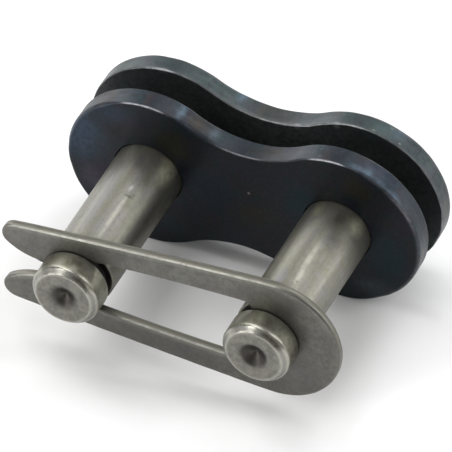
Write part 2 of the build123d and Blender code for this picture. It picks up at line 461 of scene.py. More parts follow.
def pin(name, cx, lip, seed, marks):
    """A turned pin. marks are (angle, y, half angle, half length, height) in
    degrees and mm: small raised or sunk spots on its side."""
    prof = turned_profile(lip)
    n = 232
    a = np.linspace(0, 2 * math.pi, n, endpoint=False)
    u = np.stack([np.cos(a), np.sin(a)], 1)
    rings, recess, rub_and_highlight, end, head, chamfer = [], [], [], [], [], []
    outer_edge = np.array([PIN_R - 0.07, HEAD_Y + 0.33])
    inner_edge = np.array([PIN_R - 0.36, HEAD_Y + 0.03])
    groove_edge = np.array([PIN_R, -8.21])
    for r, y in prof[1:-1]:
        here = np.array([r, y])
        # bare bright rings at the chamfer's edges and the groove's rim, placed where the highlight rings fall, so
        # partly painted highlight
        w = max(math.exp(-((np.linalg.norm(here - e) / 0.095) ** 2)) * k for e, k in ((outer_edge, 0.9), (inner_edge, 0.8), (groove_edge, 0.3)))
        on_cham = float(r > 1.8) * ramp(y, HEAD_Y, HEAD_Y + 0.04) * (1 - ramp(y, HEAD_Y + 0.34, HEAD_Y + 0.42))
        in_dimple = (1 - ramp(r, 0.86 - 0.30 * lip, 1.02 + 0.13 * lip)) if y < -9 else 0.0
        in_groove = 1.0 if (r < PIN_R - 0.06 and -8.22 < y < -7.49) else 0.0
        recess.append(np.full(n, max(0.90 * in_dimple, 1.0 * in_groove)))
        rub_and_highlight.append(np.full(n, w))
        head.append(np.full(n, 1.0 if y < -8.16 else 0.0))
        chamfer.append(np.full(n, on_cham))
        end.append(np.full(n, 1.0 if (y < HEAD_Y + 0.34 and r < PIN_R - 0.03) or y > BACK_Y + 0.3 else 0.0))
        p = np.stack([r * u[:, 0], np.full(n, y), r * u[:, 1]], 1)
        side = 1.0 if (r > PIN_R - 1e-3 and -9.55 < y < 7.2) else 0.0
        dr = np.zeros(n)
        if side:
            # drawn bar: long shallow ridges, and a few soft flats
            q = p * np.array([1.0, 0.045, 1.0])
            dr += 0.0014 * wobble(q, 0.42, seed, 3)
            dr += 0.0035 * wobble(p * np.array([1.0, 0.35, 1.0]), 1.7, seed + 4, 2)
            for ang, my, ha, hl, height in marks:
                da = (np.degrees(a) - ang + 180) % 360 - 180
                k = np.clip(1 - (da / ha) ** 2 - ((y - my) / hl) ** 2, 0, 1) ** 1.5
                dr += height * k
        elif y < -9.5 and r > 0.15:
            # the end is faced and tumbled
            dr += 0.004 * wobble(p, 0.7, seed + 8, 2) * min(1.0, r)
            if r > 1.7:
                # the chamfer was struck a little unevenly
                dr += 0.020 * (wobble(p * np.array([1.0, 0.2, 1.0]), 1.3, seed + 26, 2) - 0.8)
        q = p.copy()
        q[:, 0] += dr * u[:, 0]
        q[:, 2] += dr * u[:, 1]
        if y < -9.9 and r < PIN_R - 0.3:
            q[:, 1] += 0.001 + 0.004 * (1 + wobble(p, 0.9, seed + 20, 2))
        q[:, 0] += cx
        rings.append(q)
    verts, faces = join_rings(rings)
    polys = [tuple(f) for f in faces]
    first, last = len(verts), len(verts) + 1
    verts = np.concatenate([verts, [[cx, prof[0][1], 0]], [[cx, prof[-1][1], 0]]])
    m = (len(rings) - 1) * n
    for i in range(n):
        j = (i + 1) % n
        polys.append((j, i, first))
        polys.append((m + i, m + j, last))
    marks = {"recess": recess, "rub_and_highlight": rub_and_highlight, "end": end, "head": head, "chamfer": chamfer}
    for key in marks:
        v = np.concatenate(marks[key])
        marks[key] = np.concatenate([v, [v[0], v[-1]]])
    return solid(name, verts, polys, marks)


# -------------------------------------------------------------------- clip
CLIP_BACK, CLIP_T = -7.60, 0.55


def clip_outline(step):
    """The clip's outline in mm, read off the frame's own clip, and smoothed
    through its true normals."""
    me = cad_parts["spring_clip"].data
    level = CLIP_BACK - 0.04
    key = {}
    for v in me.vertices:
        if abs(v.co.y / MM - level) < 1e-3:
            key[v.index] = (round(v.co.x / MM, 4), round(v.co.z / MM, 4))
    normal = {}
    for lp, nv in zip(me.loops, me.corner_normals):
        k = key.get(lp.vertex_index)
        if k:
            normal[k] = normal.get(k, np.zeros(2)) + np.array([nv.vector.x, nv.vector.z])
    links = {}
    for f in me.polygons:
        vs = list(f.vertices)
        for a, b in zip(vs, vs[1:] + vs[:1]):
            ka, kb = key.get(a), key.get(b)
            if ka and kb and ka != kb:
                links.setdefault(ka, set()).add(kb)
                links.setdefault(kb, set()).add(ka)
    start = max(links)
    loop, prev, cur = [start], None, start
    while True:
        nxt = sorted(k for k in links[cur] if k != prev)
        nxt = nxt[0]
        if nxt == start or len(loop) > len(links):
            break
        loop.append(nxt)
        prev, cur = cur, nxt
    p = np.array(loop)
    area = 0.5 * np.sum(p[:, 0] * np.roll(p[:, 1], -1) - np.roll(p[:, 0], -1) * p[:, 1])
    if area < 0:
        p = p[::-1]
        loop = loop[::-1]
    nn = np.array([normal[k] / np.linalg.norm(normal[k]) for k in loop])
    tan = np.stack([-nn[:, 1], nn[:, 0]], 1)
    out, out_n = [], []
    for i in range(len(p)):
        j = (i + 1) % len(p)
        h = np.linalg.norm(p[j] - p[i])
        k = max(1, int(round(h / step)))
        t = np.linspace(0, 1, k, endpoint=False)[:, None]
        m0, m1 = tan[i] * h, tan[j] * h
        out.append((2 * t**3 - 3 * t**2 + 1) * p[i] + (t**3 - 2 * t**2 + t) * m0 + (-2 * t**3 + 3 * t**2) * p[j] + (t**3 - t**2) * m1)
        d = (6 * t**2 - 6 * t) * p[i] + (3 * t**2 - 4 * t + 1) * m0 + (-6 * t**2 + 6 * t) * p[j] + (3 * t**2 - 2 * t) * m1
        d /= np.linalg.norm(d, axis=1)[:, None]
        out_n.append(np.stack([d[:, 1], -d[:, 0]], 1))
    return np.concatenate(out), np.concatenate(out_n)


def bezier2(a, b, c, n):
    t = np.linspace(0, 1, n)[:, None]
    return (1 - t) ** 2 * np.array(a) + 2 * t * (1 - t) * np.array(b) + t**2 * np.array(c)


def near_pin_of(p):
    return np.minimum(np.hypot(p[:, 0] - PX, p[:, 1]), np.hypot(p[:, 0] + PX, p[:, 1]))


def spring_clip(name, seed):
    p, n = clip_outline(0.062)
    y0, y1 = CLIP_BACK - CLIP_T, CLIP_BACK
    m = len(p)
    # how tightly the outline turns, where the metal is inside the turn
    th = np.unwrap(np.arctan2(n[:, 1], n[:, 0]))
    ds = np.linalg.norm(np.roll(p, -1, 0) - p, axis=1)
    turn = np.roll(th, -1) - th
    turn = (turn + math.pi) % (2 * math.pi) - math.pi
    kappa = turn / np.maximum(ds, 1e-6)
    kappa = np.maximum(kappa, np.maximum(np.roll(kappa, 1), np.roll(kappa, -1)))
    room = np.where(kappa > 0.5, 0.55 / np.maximum(kappa, 0.5), 1.0)
    for _ in range(3):
        room = np.minimum(room, np.minimum(np.roll(room, 1), np.roll(room, -1)))
    kern = np.ones(7) / 7
    room = np.convolve(np.concatenate([room[-3:], room, room[:3]]), kern, "valid")
    q3 = flat_ring(p, y0)
    x, z = p[:, 0], p[:, 1]
    outer = ramp(np.hypot(x - 6.80, z), 4.0, 4.3)
    turned_end = outer * ramp(x, 7.2, 8.6) * ramp(z, -3.9, -2.6)
    tips = ramp(-x, 10.2, 11.0)
    a = (0.110 + 0.18 * turned_end + 0.05 * tips) * (1 + 0.18 * wobble(q3, 0.9, seed, 2))
    b = (0.100 + 0.11 * turned_end + 0.04 * tips) * (1 + 0.18 * wobble(q3, 0.9, seed + 2, 2))
    # the seats are sheared clean
    sharp = 1 - 0.8 * (1 - ramp(near_pin_of(p), 2.35, 2.75))
    a, b = np.minimum(a * sharp, room), b * sharp
    soft = np.clip(turned_end + 0.7 * tips, 0, 1)
    crisp = np.concatenate([bezier2((1.14, 0), (1, 0), (0.86, 0.14), 5), [(0.62, 0.38), (0.38, 0.62)], bezier2((0.14, 0.86), (0, 1), (0, 1.14), 5)])
    t = np.radians(np.linspace(0, 90, len(crisp)))
    roundp = np.stack([1 - np.sin(t), 1 - np.cos(t)], 1)
    # painted shade: the seats' edges lie in shadow beside the pin heads
    seat = 1 - ramp(near_pin_of(p), 2.24, 2.60)
    rings, rim_mark, rub_and_highlight_mark, torn_mark, seat_mark = [], [], [], [], []
    true_in = 0.006 * (1 + wobble(q3, 3.0, seed + 5, 2))
    up = ramp(n[:, 1], 0.2, 0.7)
    # rub at the edges, strongest on upward-facing ones, which is also painted highlight
    wear_and_highlight = (0.10 + 0.72 * up) * (1 - 0.6 * turned_end) * (1 - 0.8 * tips) * ramp(near_pin_of(p), 2.0, 2.6)

    def ring(d, y, rim=0.0, rub_and_highlight=0.0, torn=0.0, dark=1.0):
        d = np.minimum(np.broadcast_to(d, m), np.maximum(room * 1.6, 0.01))
        rings.append(flat_ring(p - n * d[:, None], y))
        for store, value in ((rim_mark, rim), (rub_and_highlight_mark, rub_and_highlight), (torn_mark, torn), (seat_mark, seat * dark)):
            store.append(np.broadcast_to(value, m).astype(float))

    # the face is rubbed a little way in from its edge, and that band is also painted sheen; the dark column lays
    # painted shade at the seats
    for e, w, dark in ((0.26, 0.0, 0.0), (0.17, 0.24, 0.1), (0.09, 0.36, 0.4), (0.02, 0.40, 0.8)):
        ring(true_in + a * (1 + 0.14 * (1 - soft)) + np.minimum(e, 0.4 * room), y0, rub_and_highlight=wear_and_highlight * w, dark=dark)
    for i, ((cd, cy), (rd, ry)) in enumerate(zip(crisp, roundp)):
        share = i / (len(crisp) - 1)
        w = math.exp(-(((share - 0.5) / 0.36) ** 4))
        ring(true_in + a * (cd * (1 - soft) + rd * soft), y0 + b * (cy * (1 - soft) + ry * soft), rim=ramp(share, 0.75, 1.0), rub_and_highlight=wear_and_highlight * w)
    rows = 8
    for k in range(1, rows):
        share = k / rows
        y = y0 + b * 1.14 + (CLIP_T - b * 1.14 - 0.05) * share
        torn = ramp(np.full(m, share), 0.42 + 0.12 * wobble(q3, 1.2, seed + 9, 2), 0.62 + 0.12 * wobble(q3, 1.2, seed + 9, 2))
        grain = wobble(flat_ring(p, y), 0.13, seed + 11, 3)
        ring(true_in + torn * (0.010 + 0.007 * (1 + grain)), y, rim=1.0, torn=torn)
    for tt in np.radians([90, 60, 30, 0]):
        ring(true_in + 0.012 + 0.05 * (1 - math.sin(tt)), y1 - 0.05 * (1 - math.cos(tt)), rim=math.sin(tt))
    ring(true_in + 0.012 + 0.08, y1)
    verts, faces = join_rings(rings)
    polys = [tuple(f) for f in faces]
    base = len(verts)
    for r, at, y in ((rings[0], 0, y0), (rings[-1], (len(rings) - 1) * m, y1)):
        inner, tri = cap([r[:, [0, 2]]], 0.30)
        ids = np.concatenate([at + np.arange(m), base + np.arange(len(inner))])
        polys += [tuple(ids[f]) for f in tri]
        verts = np.concatenate([verts, flat_ring(inner, y)])
        base = len(verts)
    on_front = np.abs(verts[:, 1] - y0) < 1e-6
    verts[on_front, 1] += 0.004 * (1 + wobble(verts[on_front], 1.8, seed + 7, 2))
    marks = {"rim": np.concatenate(rim_mark), "rub_and_highlight": np.concatenate(rub_and_highlight_mark), "torn": np.concatenate(torn_mark), "seat": np.concatenate(seat_mark)}
    for key in marks:
        marks[key] = np.concatenate([marks[key], np.zeros(len(verts) - len(marks[key]))])
    return solid(name, verts, polys, marks)


# ---------------------------------------------------------------- materials
class Nodes:
    """Short-hand for building one material's nodes."""

    def __init__(self, name):
        self.mat = bpy.data.materials.new(name)
        self.mat.use_nodes = True
        self.nt = self.mat.node_tree
        self.nt.nodes.clear()
        out = self.nt.nodes.new("ShaderNodeOutputMaterial")
        self.bsdf = self.nt.nodes.new("ShaderNodeBsdfPrincipled")
        self.nt.links.new(self.bsdf.outputs["BSDF"], out.inputs["Surface"])
        self.place = self.nt.nodes.new("ShaderNodeTexCoord").outputs["Object"]

    def put(self, socket, value):
        if isinstance(value, bpy.types.NodeSocket):
            self.nt.links.new(value, socket)
        else:
            socket.default_value = value

    def shader(self, **values):
        for k, v in values.items():
            self.put(self.bsdf.inputs[k.replace("_", " ")], v)

    def attribute(self, name):
        n = self.nt.nodes.new("ShaderNodeAttribute")
        n.attribute_type = "GEOMETRY"
        n.attribute_name = name
        return n.outputs["Fac"]

    def math(self, op, a, b=0.0, c=0.0, clamp=False):
        n = self.nt.nodes.new("ShaderNodeMath")
        n.operation = op
        n.use_clamp = clamp
        self.put(n.inputs[0], a)
        self.put(n.inputs[1], b)
        self.put(n.inputs[2], c)
        return n.outputs[0]

    def stretch(self, x, y, z):
        """Place in units of x, y and z millimetres."""
        n = self.nt.nodes.new("ShaderNodeVectorMath")
        n.operation = "MULTIPLY"
        self.put(n.inputs[0], self.place)
        n.inputs[1].default_value = (1000.0 / x, 1000.0 / y, 1000.0 / z)
        return n.outputs["Vector"]

    def noise(self, x, y=None, z=None, detail=3.0, rough=0.55, distort=0.0, shift=0.0):
        y, z = y or x, z or x
        n = self.nt.nodes.new("ShaderNodeTexNoise")
        n.noise_dimensions = "4D" if shift else "3D"
        n.inputs["Scale"].default_value = 1.0
        n.inputs["Detail"].default_value = detail
        n.inputs["Roughness"].default_value = rough
        n.inputs["Distortion"].default_value = distort
        if shift:
            n.inputs["W"].default_value = shift
        self.put(n.inputs["Vector"], self.stretch(x, y, z))
        return n.outputs["Fac"]

    def ramp(self, value, low, high, out_low=0.0, out_high=1.0):
        n = self.nt.nodes.new("ShaderNodeMapRange")
        n.interpolation_type = "SMOOTHSTEP"
        self.put(n.inputs["Value"], value)
        n.inputs["From Min"].default_value = low
        n.inputs["From Max"].default_value = high
        self.put(n.inputs["To Min"], out_low)
        self.put(n.inputs["To Max"], out_high)
        return n.outputs["Result"]

    def mix(self, share, a, b, blend="MIX"):
        n = self.nt.nodes.new("ShaderNodeMix")
        n.data_type = "RGBA"
        n.blend_type = blend
        sockets = {s.identifier: s for s in n.inputs}
        self.put(sockets["Factor_Float"], share)
        self.put(sockets["A_Color"], (*a, 1.0) if isinstance(a, tuple) else a)
        self.put(sockets["B_Color"], (*b, 1.0) if isinstance(b, tuple) else b)
        return {s.identifier: s for s in n.outputs}["Result_Color"]

    def spot(self, centre, radius, inner=0.0):
        """1 near a point given in mm, falling to 0 at the radius."""
        n = self.nt.nodes.new("ShaderNodeVectorMath")
        n.operation = "DISTANCE"
        self.put(n.inputs[0], self.place)
        n.inputs[1].default_value = tuple(c * MM for c in centre)
        return self.ramp(n.outputs["Value"], inner * MM, radius * MM, 1.0, 0.0)

    def streak(self, centre, reach):
        """As spot, but reaching a different way along x, y and z."""
        off = self.nt.nodes.new("ShaderNodeVectorMath")
        off.operation = "SUBTRACT"
        self.put(off.inputs[0], self.place)
        off.inputs[1].default_value = tuple(c * MM for c in centre)
        fit = self.nt.nodes.new("ShaderNodeVectorMath")
        fit.operation = "MULTIPLY"
        self.put(fit.inputs[0], off.outputs["Vector"])
        fit.inputs[1].default_value = tuple(1 / (c * MM) for c in reach)
        far = self.nt.nodes.new("ShaderNodeVectorMath")
        far.operation = "LENGTH"
        self.put(far.inputs[0], fit.outputs["Vector"])
        return self.ramp(far.outputs["Value"], 0.15, 1.0, 1.0, 0.0)

    def marks(self, c, marks):
        """Lay soft, uneven marks over a colour: (centre, reach, colour, share)."""
        if not marks:
            return c
        uneven = self.ramp(self.noise(0.30, 0.45, 0.30, detail=3, rough=0.6, shift=4.7), 0.36, 0.60, 0.55, 1.0)
        for centre, reach, colour, share in marks:
            amount = self.math("MULTIPLY", self.streak(centre, reach), self.math("MULTIPLY", uneven, share))
            c = self.mix(amount, c, colour)
        return c

    def bump(self, height, depth_mm, strength=1.0, normal=None):
        n = self.nt.nodes.new("ShaderNodeBump")
        n.inputs["Strength"].default_value = strength
        n.inputs["Distance"].default_value = depth_mm * MM
        self.put(n.inputs["Height"], height)
        if normal is not None:
            self.put(n.inputs["Normal"], normal)
        return n.outputs["Normal"]


def plate_material(name, face, face_alt, face_dull, rim, rim_alt, rim_dull, rim_blue, seed, marks=()):
    """Blackened strip steel: dark oxide whose tint drifts, rubbed at edges, with painted highlight on the upper edges
    and some marks of painted light.
    """
    g = Nodes(name)
    on_rim = g.attribute("rim")
    rub_and_highlight = g.attribute("rub_and_highlight")
    torn = g.attribute("torn")
    cloud = g.noise(2.6, detail=3, rough=0.6, distort=0.7, shift=seed)
    cloud2 = g.noise(1.0, detail=4, rough=0.6, shift=seed + 3)
    speck = g.noise(0.15, detail=2, rough=0.6, shift=seed + 5)
    c_face = g.mix(g.ramp(cloud, 0.40, 0.62), face, face_alt)
    c_face = g.mix(g.ramp(cloud2, 0.48, 0.68, 0.0, 0.55), c_face, face_dull)
    hue = g.noise(0.55, detail=3, rough=0.55, shift=seed + 17)
    c_face = g.mix(g.ramp(hue, 0.53, 0.66, 0.0, 0.65), c_face, (0.006, 0.018, 0.020))
    c_face = g.mix(g.ramp(hue, 0.47, 0.34, 0.0, 0.65), c_face, (0.017, 0.010, 0.025))
    tint = g.noise(0.75, 2.4, 0.75, detail=3, shift=seed + 7)
    c_rim = g.mix(g.ramp(tint, 0.40, 0.60), rim, rim_alt)
    drag = g.noise(0.10, 1.9, 0.10, detail=3, rough=0.6, shift=seed + 9)
    c_rim = g.mix(g.ramp(g.noise(1.3, 2.6, 1.3, detail=2, shift=seed + 8), 0.50, 0.66, 0.0, 0.7), c_rim, rim_dull)
    c_rim = g.mix(g.ramp(g.noise(0.45, 1.6, 0.45, detail=2, shift=seed + 19), 0.56, 0.70, 0.0, 0.55), c_rim, rim_blue)
    c_rim = g.mix(g.ramp(drag, 0.38, 0.68, 0.0, 0.18), c_rim, (0.008, 0.009, 0.011))
    pepper = g.noise(0.24, 0.30, 0.24, detail=3, rough=0.65, shift=seed + 21)
    c_rim = g.mix(g.ramp(pepper, 0.50, 0.70, 0.0, 0.45), c_rim, (0.012, 0.013, 0.014))
    c_rim = g.mix(g.ramp(pepper, 0.40, 0.26, 0.0, 0.45), c_rim, (0.085, 0.10, 0.105))
    c = g.mix(on_rim, c_face, c_rim)
    c = g.marks(c, marks)
    c = g.mix(g.ramp(speck, 0.40, 0.75, 0.0, 0.24), c, (0.036, 0.040, 0.044))
    # edge rub to bare steel, with painted highlight on the upper edges
    wear_and_highlight = g.math("MULTIPLY", rub_and_highlight, g.ramp(g.noise(0.22, detail=3, shift=seed + 11), 0.30, 0.55, 0.45, 1.0), clamp=True)
    c = g.mix(wear_and_highlight, c, (0.30, 0.30, 0.32))
    rough = g.ramp(cloud2, 0.35, 0.70, 0.38, 0.47)
    rough = g.math("ADD", rough, g.ramp(torn, 0.0, 1.0, 0.0, 0.05))
    rough = g.math("SUBTRACT", rough, g.math("MULTIPLY", wear_and_highlight, 0.08))
    metal = g.ramp(wear_and_highlight, 0.0, 1.0, 0.60, 1.0)
    g.shader(Base_Color=c, Metallic=metal, Roughness=rough)
    g.shader(Specular_IOR_Level=0.25, Coat_Weight=0.10, Coat_Roughness=0.18, Coat_IOR=1.45)
    fine = g.noise(0.055, detail=2, rough=0.6, shift=seed + 13)
    n1 = g.bump(g.math("ADD", g.math("MULTIPLY", fine, 0.5), g.math("MULTIPLY", speck, 0.5)), 0.006)
    n2 = g.bump(g.math("MULTIPLY", g.math("ADD", drag, pepper), on_rim), 0.004, normal=n1)
    g.shader(Normal=n2)
    return g.mat


def pin_material(name, seed, marks=()):
    """Turned and tumbled bar: lengthwise lines, a fine grain, grime and painted shade in the
    hollows, bare bright edges that also carry painted highlight, and marks of painted light and shade."""
    g = Nodes(name)
    recess = g.attribute("recess")
    edge = g.attribute("rub_and_highlight")
    chamfer = g.attribute("chamfer")
    end = g.attribute("end")
    head = g.attribute("head")
    streak = g.noise(0.20, 9.0, 0.20, detail=4, rough=0.6, shift=seed)
    broad = g.noise(0.85, 14.0, 0.85, detail=2, rough=0.5, shift=seed + 2)
    blot = g.noise(1.1, 1.9, 1.1, detail=4, rough=0.62, shift=seed + 4)
    grain = g.noise(0.17, 0.26, 0.17, detail=3, rough=0.6, shift=seed + 6)
    c = g.mix(g.ramp(streak, 0.35, 0.65), (0.190, 0.183, 0.152), (0.226, 0.219, 0.184))
    c = g.mix(g.ramp(broad, 0.46, 0.62, 0.0, 0.6), c, (0.190, 0.184, 0.184))
    c = g.mix(g.ramp(blot, 0.46, 0.68, 0.0, 0.6), c, (0.160, 0.158, 0.112))
    c = g.mix(g.ramp(grain, 0.42, 0.72, 0.0, 0.38), c, (0.125, 0.120, 0.098))
    drift = g.noise(0.60, 0.95, 0.60, detail=4, rough=0.6, shift=seed + 14)
    c = g.mix(g.ramp(drift, 0.53, 0.67, 0.0, 0.45), c, (0.176, 0.184, 0.124))
    c = g.mix(g.ramp(drift, 0.46, 0.34, 0.0, 0.40), c, (0.222, 0.212, 0.226))
    face = g.noise(0.34, detail=4, rough=0.6, shift=seed + 8)
    c_end = g.mix(g.ramp(face, 0.36, 0.64), (0.154, 0.148, 0.134), (0.220, 0.213, 0.184))
    c_end = g.mix(chamfer, c_end, (0.245, 0.238, 0.215))
    # painted light: the head is made lighter than the shank; its side also carries more tarnish than the shank
    band = g.math("SUBTRACT", head, end, clamp=True)
    cast = g.noise(0.62, 0.9, 0.62, detail=4, rough=0.62, shift=seed + 12)
    c = g.mix(g.math("MULTIPLY", head, 0.75), c, (0.300, 0.292, 0.240))
    c = g.mix(end, c, c_end)
    c = g.mix(g.math("MULTIPLY", g.ramp(cast, 0.50, 0.64, 0.0, 0.7), band), c, (0.145, 0.128, 0.088))
    c = g.mix(g.math("MULTIPLY", g.ramp(cast, 0.47, 0.36, 0.0, 0.5), band), c, (0.230, 0.250, 0.165))
    c = g.marks(c, marks)
    # grime and painted shade in the dimple and the groove
    c = g.mix(recess, c, (0.036, 0.031, 0.030))
    # bare edges rubbed bright, partly painted highlight
    wear_and_highlight = g.math("MULTIPLY", edge, g.ramp(g.noise(0.30, detail=3, shift=seed + 10), 0.30, 0.55, 0.55, 1.0), clamp=True)
    c = g.mix(wear_and_highlight, c, (0.42, 0.41, 0.36))
    rough = g.ramp(streak, 0.30, 0.70, 0.43, 0.37)
    rough = g.math("ADD", rough, g.ramp(grain, 0.45, 0.75, 0.0, 0.07))
    rough = g.math("SUBTRACT", rough, g.math("MULTIPLY", wear_and_highlight, 0.15))
    rough = g.math("SUBTRACT", rough, g.math("MULTIPLY", chamfer, 0.10))
    g.shader(Base_Color=c, Metallic=0.82, Roughness=rough)
    calm = g.math("SUBTRACT", 1.0, g.math("MULTIPLY", chamfer, 0.75))
    n1 = g.bump(g.math("MULTIPLY", grain, calm), 0.007)
    n2 = g.bump(g.math("MULTIPLY", streak, calm), 0.005, normal=n1)
    g.shader(Normal=n2)
    return g.mat


def clip_material(name, seed, marks=()):
    """Tempered spring strip, tumbled: a mottled grey, brighter at the edges from rub and painted highlight, with
    painted shade at the seats and around the pin heads.
    """
    g = Nodes(name)
    rub_and_highlight = g.attribute("rub_and_highlight")
    rim = g.attribute("rim")
    torn = g.attribute("torn")
    blot = g.noise(1.4, detail=4, rough=0.62, distort=0.4, shift=seed)
    small = g.noise(0.34, detail=4, rough=0.6, shift=seed + 2)
    speck = g.noise(0.10, detail=2, rough=0.6, shift=seed + 4)
    c = g.mix(g.ramp(blot, 0.36, 0.66), (0.116, 0.110, 0.102), (0.150, 0.149, 0.134))
    c = g.mix(g.ramp(small, 0.45, 0.66, 0.0, 0.5), c, (0.094, 0.097, 0.082))
    c = g.mix(g.ramp(speck, 0.50, 0.72, 0.0, 0.42), c, (0.20, 0.195, 0.175))
    c = g.mix(rim, c, (0.150, 0.146, 0.122))
    c = g.mix(g.math("MULTIPLY", torn, 0.45), c, (0.075, 0.072, 0.061))
    c = g.marks(c, marks)
    # painted shade at the seats
    c = g.mix(g.attribute("seat"), c, (0.014, 0.013, 0.011))
    wear_and_highlight = g.math("MULTIPLY", rub_and_highlight, g.ramp(g.noise(0.25, detail=3, shift=seed + 6), 0.28, 0.50, 0.5, 1.0), clamp=True)
    c = g.mix(wear_and_highlight, c, (0.30, 0.296, 0.262))
    rough = g.ramp(small, 0.35, 0.70, 0.38, 0.48)
    rough = g.math("SUBTRACT", rough, g.math("MULTIPLY", wear_and_highlight, 0.10))
    g.shader(Base_Color=c, Metallic=0.86, Roughness=rough)
    n1 = g.bump(g.math("ADD", g.math("MULTIPLY", speck, 0.5), g.math("MULTIPLY", small, 0.5)), 0.008)
    g.shader(Normal=n1)
    return g.mat


# ------------------------------------------------------------------- build
cover = side_plate(
    "cover_plate_punched", 2.25, cover_front_edge, cover_back_edge, PIN_R + COVER_PLAY, 0.08, 0.09,
    1, 0.55, [], cover_front_wear_and_highlight, cover_back_wear_and_highlight,
)
holder = side_plate(
    "pin_plate_punched", 5.75, pin_plate_front_edge, pin_plate_back_edge, PIN_R + 0.006, 0.05, 0.05,
    21, 0.45, [], pin_plate_front_wear_and_highlight, pin_plate_back_wear,
)
left = pin("pin_left_turned", -PX, 1.15, 3, [(72, -1.55, 5, 0.35, 0.030), (70, -2.10, 7, 0.17, -0.024)])
right_pin = pin("pin_right_turned", PX, 0.40, 43, [(73, -4.9, 3, 0.16, -0.020)])
clip = spring_clip("spring_clip_punched", 5)

for ob, body, node, slot in (
    (cover, "cover", "cover_plate", "plate_steel"),
    (holder, "link", "pin_plate", "plate_steel"),
    (left, "link", "pin_left", "pin_steel"),
    (right_pin, "link", "pin_right", "pin_steel"),
    (clip, "clip", "spring_clip", "clip_steel"),
):
    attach(ob, body)
    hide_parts(node)



def on_pin(side, angle, y):
    """A point on a pin's side, in mm."""
    a = math.radians(angle)
    return (side * PX + PIN_R * math.cos(a), y, PIN_R * math.sin(a))


TEAL, VIOLET, OLIVE, BLUE = (0.006, 0.018, 0.022), (0.019, 0.012, 0.027), (0.018, 0.015, 0.009), (0.016, 0.028, 0.050)
# the pale blue here is the colour of painted highlights on the rims
BROWN, PAINTED_HIGHLIGHT_BLUE = (0.034, 0.026, 0.018), (0.10, 0.15, 0.20)
cover.data.materials.append(
    plate_material(
        "cover_plate_blacked", (0.0095, 0.0135, 0.0195), (0.012, 0.0135, 0.0165), (0.013, 0.012, 0.011),
        (0.020, 0.024, 0.033), (0.014, 0.026, 0.034), (0.027, 0.023, 0.024), (0.022, 0.036, 0.052), 1.3,
        [
            ((-10.9, 2.25, 1.8), (2.5, 0.5, 3.3), (0.025, 0.044, 0.074), 1.0),
            ((-8.6, 2.25, 4.1), (1.9, 0.5, 1.4), (0.019, 0.031, 0.056), 0.8),
            ((-7.6, 2.25, 3.2), (1.3, 0.5, 1.2), (0.021, 0.017, 0.022), 0.6),
            ((-9.3, 2.25, -0.9), (1.5, 0.5, 1.5), VIOLET, 0.7),
            # painted light lifting the shade behind the left pin
            ((-4.7, 2.25, 3.0), (1.9, 0.5, 1.8), (0.022, 0.021, 0.013), 0.9),
            ((-2.2, 2.25, 0.3), (2.6, 0.5, 2.3), (0.006, 0.015, 0.026), 0.9),
            ((3.9, 2.25, 1.3), (1.6, 0.5, 2.4), (0.004, 0.020, 0.027), 0.9),
            ((0.3, 2.25, 3.0), (2.3, 0.5, 1.3), VIOLET, 0.35),
            ((0.9, 2.25, -0.9), (2.6, 0.5, 1.5), (0.017, 0.015, 0.009), 0.75),
            # painted light lifting the shade behind the right pin
            ((7.8, 2.25, 3.9), (1.5, 0.5, 1.4), (0.023, 0.020, 0.012), 0.9),
            ((9.8, 2.25, -1.0), (1.9, 0.5, 2.8), (0.004, 0.020, 0.028), 0.9),
            ((10.6, 2.25, 2.2), (1.3, 0.5, 1.8), VIOLET, 0.5),
            ((-10.2, 2.25, -1.7), (1.2, 0.5, 1.6), (0.038, 0.034, 0.048), 0.8),
            ((9.0, 2.25, -3.9), (2.2, 0.5, 1.1), (0.036, 0.046, 0.054), 0.8),
            ((-4.6, 2.25, -3.6), (1.6, 0.5, 1.2), (0.013, 0.021, 0.026), 0.8),
            ((0.45, 2.25, 0.85), (0.14, 0.2, 0.14), (0.26, 0.25, 0.23), 0.9),
            ((-3.2, 3.1, 4.65), (1.2, 0.9, 0.9), BROWN, 0.8),
            # painted highlights on the rim
            ((-4.35, 3.2, 5.1), (0.42, 1.1, 0.5), PAINTED_HIGHLIGHT_BLUE, 0.5),
            ((-2.10, 3.1, 4.2), (0.55, 0.9, 0.5), PAINTED_HIGHLIGHT_BLUE, 0.30),
            ((1.4, 3.0, 3.9), (1.9, 1.0, 0.9), (0.031, 0.025, 0.019), 0.55),
            ((6.9, 3.0, 5.5), (1.6, 1.0, 0.6), (0.012, 0.016, 0.023), 0.65),
            ((8.9, 3.1, 4.9), (2.2, 1.1, 1.5), (0.012, 0.021, 0.042), 0.75),
            # painted highlight streak along the front edge of the right lobe
            ((7.6, 2.6, 5.33), (0.7, 0.40, 0.4), PAINTED_HIGHLIGHT_BLUE, 0.35),
            ((8.35, 2.65, 5.10), (0.62, 0.50, 0.45), PAINTED_HIGHLIGHT_BLUE, 0.50),
            ((9.1, 2.55, 4.73), (0.75, 0.36, 0.60), PAINTED_HIGHLIGHT_BLUE, 0.35),
            ((10.1, 2.5, 4.0), (0.9, 0.36, 0.95), (0.050, 0.080, 0.115), 0.6),
            ((-6.5, 3.0, 5.5), (0.4, 0.9, 0.4), (0.040, 0.028, 0.030), 0.7),
        ],
    )
)
